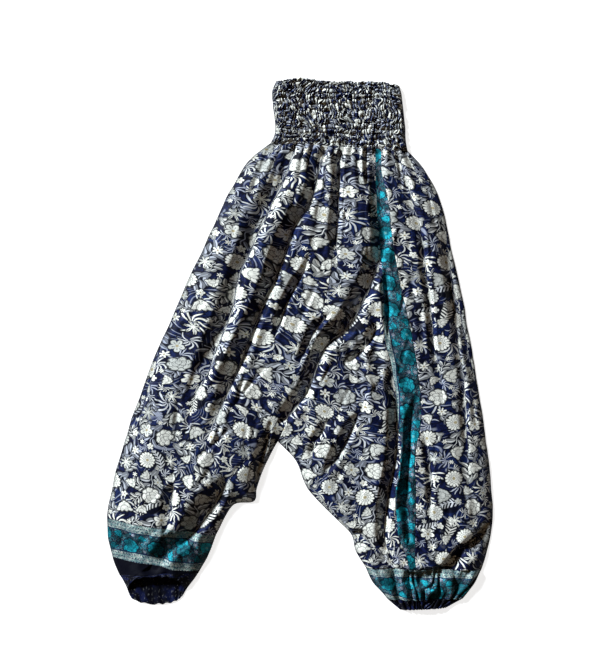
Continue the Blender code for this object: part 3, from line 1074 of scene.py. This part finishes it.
class HAREM_OT_left_leg(bpy.types.Operator):
    """The left leg's front, and its back that lies on the floor"""
    bl_idname = "harem_pants.left_leg"
    bl_label = "Left leg"

    def execute(self, context):
        down = even(LEFT_LEG, 300)
        front = lay("left_leg_front_cloth", "left_leg_front", "floral_print",
                    leg_front(LEFT_LEG, LEFT_TURN), 122, 300,
                    FLORAL_MOTIFS, down=down)

        def place(down, share):
            x, y = across(LEFT_LEG, down, 1 - share)
            u, v = print_place(x, y, LEFT_TURN)
            return x, y, back_height(x, y), u + UNDERSIDE_SHIFT, v
        back = lay("left_leg_back_cloth", "left_leg_back", "floral_print", place, 74, 200,
                   FLORAL_MOTIFS, down=down)
        return {"FINISHED"}


class HAREM_OT_right_leg(bpy.types.Operator):
    """The right leg's front panel, and the back that wraps round its outer side"""
    bl_idname = "harem_pants.right_leg"
    bl_label = "Right leg"

    def execute(self, context):
        down = even(RIGHT_LEG, 310)
        front = lay("right_leg_front_cloth", "right_leg_front", "floral_print",
                    leg_front(RIGHT_LEG, RIGHT_TURN, strip_start), 86, 310,
                    FLORAL_MOTIFS, down=down)
        over_columns, under_columns = 66, 76
        columns = over_columns + 1 + under_columns
        fold = (over_columns + 0.5) / columns

        def place(down, share):
            over = share < fold
            end = strip_end(down)
            over_share = end + share * columns / over_columns * (1 - end)
            under_share = (1 - share) * columns / under_columns
            x, y = across(RIGHT_LEG, down, np.where(over, over_share, under_share))
            u, v = print_place(x, y, RIGHT_TURN)
            z = np.where(over, front_height(x, y), back_height(x, y))
            return x, y, z, wrapped(over, u), v
        back = lay("right_leg_back_cloth", "right_leg_back", "floral_print", place, columns,
                   310, FLORAL_MOTIFS, down=down)
        return {"FINISHED"}


class HAREM_OT_border_strip(bpy.types.Operator):
    """The flowered border let in down the right leg"""
    bl_idname = "harem_pants.border_strip"
    bl_label = "Border strip"

    def execute(self, context):
        def place(down, share):
            start, end = strip_start(down), strip_end(down)
            x, y = across(RIGHT_LEG, down, start + share * (end - start))
            seam_x, seam_y = across(RIGHT_LEG, down, end)
            inward = np.hypot(seam_x - x, seam_y - y) * MM
            return x, y, front_height(x, y), y * MM, BORDER_WIDTH / 2 - inward
        piece = lay("border_strip_cloth", "border_strip", "teal_border", place, 20, 310,
                    BORDER_MOTIFS, down=even(RIGHT_LEG, 310))
        return {"FINISHED"}


# How far the waistband's top edge rises over its line, from left to right.
TOP_RUFFLE = [(0, 1), (0.08, 2), (0.2, 8), (0.32, 4), (0.5, 2), (0.66, 5), (0.85, 6), (1, 2)]


class HAREM_OT_waistband(bpy.types.Operator):
    """The waistband, gathered on rows of elastic"""
    bl_idname = "harem_pants.waistband"
    bl_label = "Smocked waistband"

    def execute(self, context):
        def place(down, share):
            front, part = around(share, WAIST_FRONT)
            x, y = across(WAISTBAND, down, part)
            y = y + np.interp(part, *zip(*TOP_RUFFLE)) * (1 - down) ** 2
            y = y + 1.6 * noise(part * 40, down * 3, 26) * (1 - down) ** 6
            drift = 0.9 * noise(part * 13, down * 6, 21) + 0.6 * noise(part * 34, down * 12, 24)
            row = down * WAIST_ROWS + 0.45 * noise(part * 22, down * 5, 22)
            stitched = np.floor(row)
            hop = 0.8 * noise(part * 11, stitched * 7.3, 27)
            slant = (row - stitched - 0.5) * 1.5 * noise(part * 13, stitched * 5.7, 28)
            rib = part * WAIST_RIBS + drift + hop + slant + np.where(front, 0, 7.4)
            swell = np.abs(np.sin(pi * rib)) ** 0.6
            pinch = np.abs(np.sin(pi * row)) ** 0.6
            relief = PUCKER * swell * (0.35 + 0.65 * pinch) * (1 + 0.7 * noise(rib, row, 25))
            relief += 0.5 * noise(rib * 4, row * 3, 23)
            rolled = roll(part, WAIST_WIDTH, 4)
            to_leg = np.clip((down - 0.9) / 0.1, 0, 1)
            top = off_middle(FRONT_LEVEL + WAIST_LIFT + relief, rolled)
            top = top + to_leg * (front_height(x, y) - top) * rolled
            bottom = off_middle(BACK_LEVEL + 0.35 * np.maximum(relief, 0.5), rolled)
            step = np.floor(rib) + np.clip((rib - np.floor(rib)) / RIB_TUCK, 0, 1)
            u = (RIB_CLOTH - RIB_SHOWN) * step + RIB_SHOWN * rib
            return x, y, np.where(front, top, bottom), u, WAIST_LENGTH * y * MM
        piece = lay("smocked_waistband", "waistband", "floral_print", place, 440, 110,
                    FLORAL_MOTIFS, closed=True)
        return {"FINISHED"}


def band_place(rows, start_v, ribs=0, rib_depth=0.0):
    """Places of a tube round the ankle: v starts at its top edge and falls."""
    def place(down, share):
        front, part = around(share)
        x, y = across(rows, down, part)
        top_x, top_y = across(rows, 0 * down, part)
        v = start_v - np.hypot(x - top_x, y - top_y) * MM
        rolled = roll(part, BAND_WIDTH, 3)
        rib = ribs * part + 1.3 * noise(part * 9, down, 51)
        ripple = rib_depth * (np.abs(np.sin(pi * rib)) - 0.4)
        top = np.maximum(front_height(x, y) + ripple, FRONT_LEVEL)
        z = off_middle(np.where(front, top, BACK_LEVEL), rolled)
        return x, y, z, wrapped(front, x * MM), v
    return place


class HAREM_OT_cuff_bands(bpy.types.Operator):
    """The flowered bands round both ankles"""
    bl_idname = "harem_pants.cuff_bands"
    bl_label = "Cuff bands"

    def execute(self, context):
        start_v = BORDER_WIDTH / 2 + LINE_WIDTH + STRIPE_WIDTH
        left = lay("left_cuff_band_cloth", "left_cuff_band", "teal_border",
                   band_place(LEFT_BAND, start_v), 200, 50, BORDER_MOTIFS, closed=True)
        right = lay("right_cuff_band_cloth", "right_cuff_band", "teal_border",
                    band_place(RIGHT_BAND, start_v, 7, 9.0), 200, 36, BORDER_MOTIFS, closed=True)
        return {"FINISHED"}


class HAREM_OT_hems(bpy.types.Operator):
    """The plain hems: the left one gapes, the right one is drawn in"""
    bl_idname = "harem_pants.hems"
    bl_label = "Gathered hems"

    def execute(self, context):
        def mouth(down, share):
            front, part = around(share)
            x, y = across(LEFT_BAND, 0 * down + 1, part)
            turn = pi * part
            lip_x = LEFT_MOUTH.centre_x - LEFT_MOUTH.half_width * np.cos(turn)
            reach = np.where(front, LEFT_MOUTH.front_reach, -LEFT_MOUTH.back_reach)
            lip_y = LEFT_MOUTH.centre_y + reach * np.sin(turn) ** 0.8
            lip_top = MID_LEVEL + LEFT_MOUTH.lift * np.sin(turn) ** 0.7
            rolled = roll(part, HEM_WIDTH, 3)
            under = off_middle(BACK_LEVEL + HEM_LIFT, rolled)
            start_z = np.where(front, off_middle(front_height(x, y), rolled), under)
            lip_z = np.where(front, lip_top, under)
            gathers = np.sin(2 * pi * (HEM_GATHERS * part + 0.6 * noise(part * 8, down, 52)))
            ripple = GATHER_HEIGHT * (1 + gathers) * np.sin(turn) * down
            ripple *= np.where(front, 1, 0.6)
            x = x + down * (lip_x - x)
            y = y + down * (lip_y - y + GATHER_DEPTH * gathers * np.sin(turn))
            z = start_z + down * (lip_z - start_z) + ripple
            return x, y, z, wrapped(front, x * MM), down * HEM_CLOTH
        left = lay("left_hem_cloth", "left_hem", "navy_plain", mouth, 240, 30, closed=True)
        right = lay("right_hem_cloth", "right_hem", "navy_plain",
                    band_place(RIGHT_HEM, 0.05, 13, 4.0), 240, 20, closed=True)
        return {"FINISHED"}


# In metres: how far the floor reaches to each side and lies under the cloth, where the view
# is centred and how much it takes in from top to bottom.
FLOOR_REACH = 8
FLOOR_DROP = 0.0003
VIEW_CENTRE = (0.0013, 0.027, 0.012)
VIEW_HEIGHT = 1.226
KEY_SIZE = radians(9)


class HAREM_OT_stage(bpy.types.Operator):
    """A pale floor, soft light from the left and a camera straight overhead"""
    bl_idname = "harem_pants.stage"
    bl_label = "Floor, light and camera"

    def execute(self, context):
        light = context.scene.harem_light
        mesh = grid_mesh("floor", 1, 1, FLOOR_REACH)
        finish = Finish("pale_floor", 0.9)
        finish.shader.inputs["Base Color"].default_value = (*light.floor_colour, 1)
        finish.shader.inputs["Emission Color"].default_value = (1, 1, 1, 1)
        finish.shader.inputs["Emission Strength"].default_value = light.floor_glow
        mesh.materials.append(finish.material)
        floor = put("floor", mesh)
        floor.location.z = -FLOOR_DROP

        lens = bpy.data.cameras.new("camera")
        lens.sensor_fit = "VERTICAL"
        lens.sensor_height = 36
        lens.lens = 50
        camera = put("camera", lens)
        x, y, z = VIEW_CENTRE
        camera.location = (x, y, z + VIEW_HEIGHT * lens.lens / lens.sensor_height)
        context.scene.camera = camera

        key = bpy.data.lights.new("key", "SUN")
        key.energy = light.key_strength
        key.color = light.key_colour
        key.angle = KEY_SIZE
        put("key", key).rotation_euler = (0, light.key_height - pi / 2, light.key_heading)
        world = bpy.data.worlds.new("studio")
        world.use_nodes = True
        background = world.node_tree.nodes["Background"]
        background.inputs["Color"].default_value = (*light.fill_colour, 1)
        background.inputs["Strength"].default_value = light.fill_strength
        context.scene.world = world
        context.scene.view_settings.view_transform = "Standard"
        return {"FINISHED"}


def colour_property(name, description, default):
    return FloatVectorProperty(
        name=name, description=description, default=default, subtype="COLOR", min=0, max=1)


def strength_property(name, description, default):
    return FloatProperty(name=name, description=description, default=default, min=0)


def angle_property(name, description, degrees):
    return FloatProperty(
        name=name, description=description, default=radians(degrees), unit="ROTATION")


class HaremInks(bpy.types.PropertyGroup):
    """The colours of the prints."""
    navy: colour_property("Navy", "Ground of the print", (0.0055, 0.0095, 0.050))
    deep_navy: colour_property("Deep navy", "Round the flowers", (0.0014, 0.0018, 0.006))
    indigo: colour_property("Indigo", "Lighter patches of the ground", (0.007, 0.018, 0.085))
    cream: colour_property("Cream", "Petals and leaves", (0.80, 0.81, 0.76))
    silver: colour_property("Silver", "Greyer petals", (0.52, 0.54, 0.52))
    lilac: colour_property("Lilac", "Thin sprays and stems", (0.35, 0.385, 0.49))
    tan: colour_property("Tan", "Eyes of the flowers", (0.36, 0.31, 0.19))
    line: colour_property("Line", "Lines drawn on the petals", (0.045, 0.05, 0.055))
    turquoise: colour_property("Turquoise", "Flowers of the border", (0.014, 0.40, 0.50))
    teal: colour_property("Teal", "Ground of the border", (0.003, 0.045, 0.080))
    mint: colour_property("Mint", "Stripes beside the border", (0.15, 0.27, 0.26))


class HaremCloth(bpy.types.PropertyGroup):
    """The cloth itself."""
    thickness: FloatProperty(
        name="Thickness", description="Thickness of the cloth", default=0.0006,
        min=0.0002, max=0.002, unit="LENGTH", precision=4)


class HaremLight(bpy.types.PropertyGroup):
    """The floor and the light."""
    floor_colour: colour_property("Floor", "Colour of the floor", (0.55, 0.55, 0.55))
    floor_glow: strength_property("Floor glow", "Light that the floor gives off", 0.8)
    key_strength: strength_property("Key strength", "Strength of the light from the left", 7.6)
    key_colour: colour_property("Key colour", "Colour of the light from the left",
                                (0.90, 0.965, 1.0))
    key_height: angle_property("Key height", "How high that light stands over the floor", 24)
    key_heading: angle_property("Key heading", "Where that light stands, turned from the left",
                                -38)
    fill_strength: strength_property("Fill strength", "Strength of the light from all round",
                                     0.06)
    fill_colour: colour_property("Fill colour", "Colour of the light from all round",
                                 (1.0, 0.66, 0.38))


OPERATORS = (
    HAREM_OT_stage,
    HAREM_OT_left_leg,
    HAREM_OT_right_leg,
    HAREM_OT_border_strip,
    HAREM_OT_waistband,
    HAREM_OT_cuff_bands,
    HAREM_OT_hems,
)


class HAREM_PT_sidebar(bpy.types.Panel):
    """Lists the colours, the light and the pieces"""
    bl_label = "Harem pants"
    bl_idname = "HAREM_PT_sidebar"
    bl_space_type = "VIEW_3D"
    bl_region_type = "UI"
    bl_category = "Harem pants"

    def draw(self, context):
        scene = context.scene
        for group in (scene.harem_inks, scene.harem_cloth, scene.harem_light):
            box = self.layout.box()
            for name in group.__annotations__:
                box.prop(group, name)
        for operator in OPERATORS:
            self.layout.operator(operator.bl_idname)


CLASSES = (HaremInks, HaremCloth, HaremLight, *OPERATORS, HAREM_PT_sidebar)


def register():
    for cls in CLASSES:
        bpy.utils.register_class(cls)
    bpy.types.Scene.harem_inks = PointerProperty(type=HaremInks)
    bpy.types.Scene.harem_cloth = PointerProperty(type=HaremCloth)
    bpy.types.Scene.harem_light = PointerProperty(type=HaremLight)


def unregister():
    del bpy.types.Scene.harem_inks, bpy.types.Scene.harem_cloth, bpy.types.Scene.harem_light
    for cls in reversed(CLASSES):
        bpy.utils.unregister_class(cls)


def main():
    register()
    for operator in OPERATORS:
        group, name = operator.bl_idname.split(".")
        getattr(getattr(bpy.ops, group), name)()


if __name__ == "__main__":
    main()
